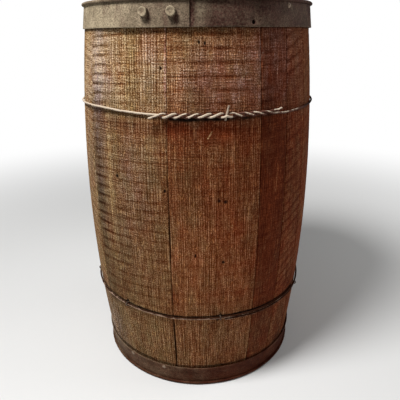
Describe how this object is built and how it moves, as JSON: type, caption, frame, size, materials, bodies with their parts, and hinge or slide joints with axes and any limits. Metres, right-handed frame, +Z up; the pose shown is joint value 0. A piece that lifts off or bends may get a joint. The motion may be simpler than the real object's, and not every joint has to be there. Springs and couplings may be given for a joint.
{
  "type": "wooden keg",
  "caption": "Small closed wooden keg of wide rough-sawn staves, held by riveted beaded sheet-steel chime hoops and by thin wire hoops, one twisted tight and one stapled on",
  "frame": {"origin": "middle of the footprint, on the plane that the ends of the staves stand on", "axes": "+Z up along the keg's axis; -Y towards the side with the top hoop's lap and the upper wire's twist; +X to the right as that side is faced"},
  "size_m": [0.2918, 0.2926, 0.457],
  "materials": {
    "stave_wood": "rough sawn, aged, unvarnished",
    "head_wood": "planed once, aged, unvarnished",
    "dowel_wood": "plain turned",
    "hoop_steel": "dulled, stained and rusted sheet",
    "rivet_steel": "hammered, worn bright on the rims",
    "nail_steel": "dull, lightly rusted",
    "galvanised_wire": "dull galvanised",
    "rusty_wire": "dull with rust"
  },
  "bodies": {
    "root": {"bottom_hoop": "hoop_steel", "bottom_hoop_rivets": "rivet_steel", "bottom_hoop_nails": "nail_steel", "top_hoop": "hoop_steel", "top_hoop_rivets": "rivet_steel", "top_hoop_nails": "nail_steel", "upper_wire_hoop": "galvanised_wire", "tightening_stub": "galvanised_wire", "lower_wire_hoop": "rusty_wire", "lower_wire_staples": "rusty_wire", "stave_01": "stave_wood", "stave_02": "stave_wood", "stave_03": "stave_wood", "stave_04": "stave_wood", "stave_05": "stave_wood", "stave_06": "stave_wood", "stave_07": "stave_wood", "stave_08": "stave_wood", "stave_09": "stave_wood", "stave_10": "stave_wood", "stave_11": "stave_wood", "bottom_head_board_1": "head_wood", "bottom_head_board_2": "head_wood", "bottom_head_board_3": "head_wood", "bottom_head_dowels": "dowel_wood", "top_head_board_1": "head_wood", "top_head_board_2": "head_wood", "top_head_board_3": "head_wood", "top_head_dowels": "dowel_wood"}
  },
  "joints": []
}
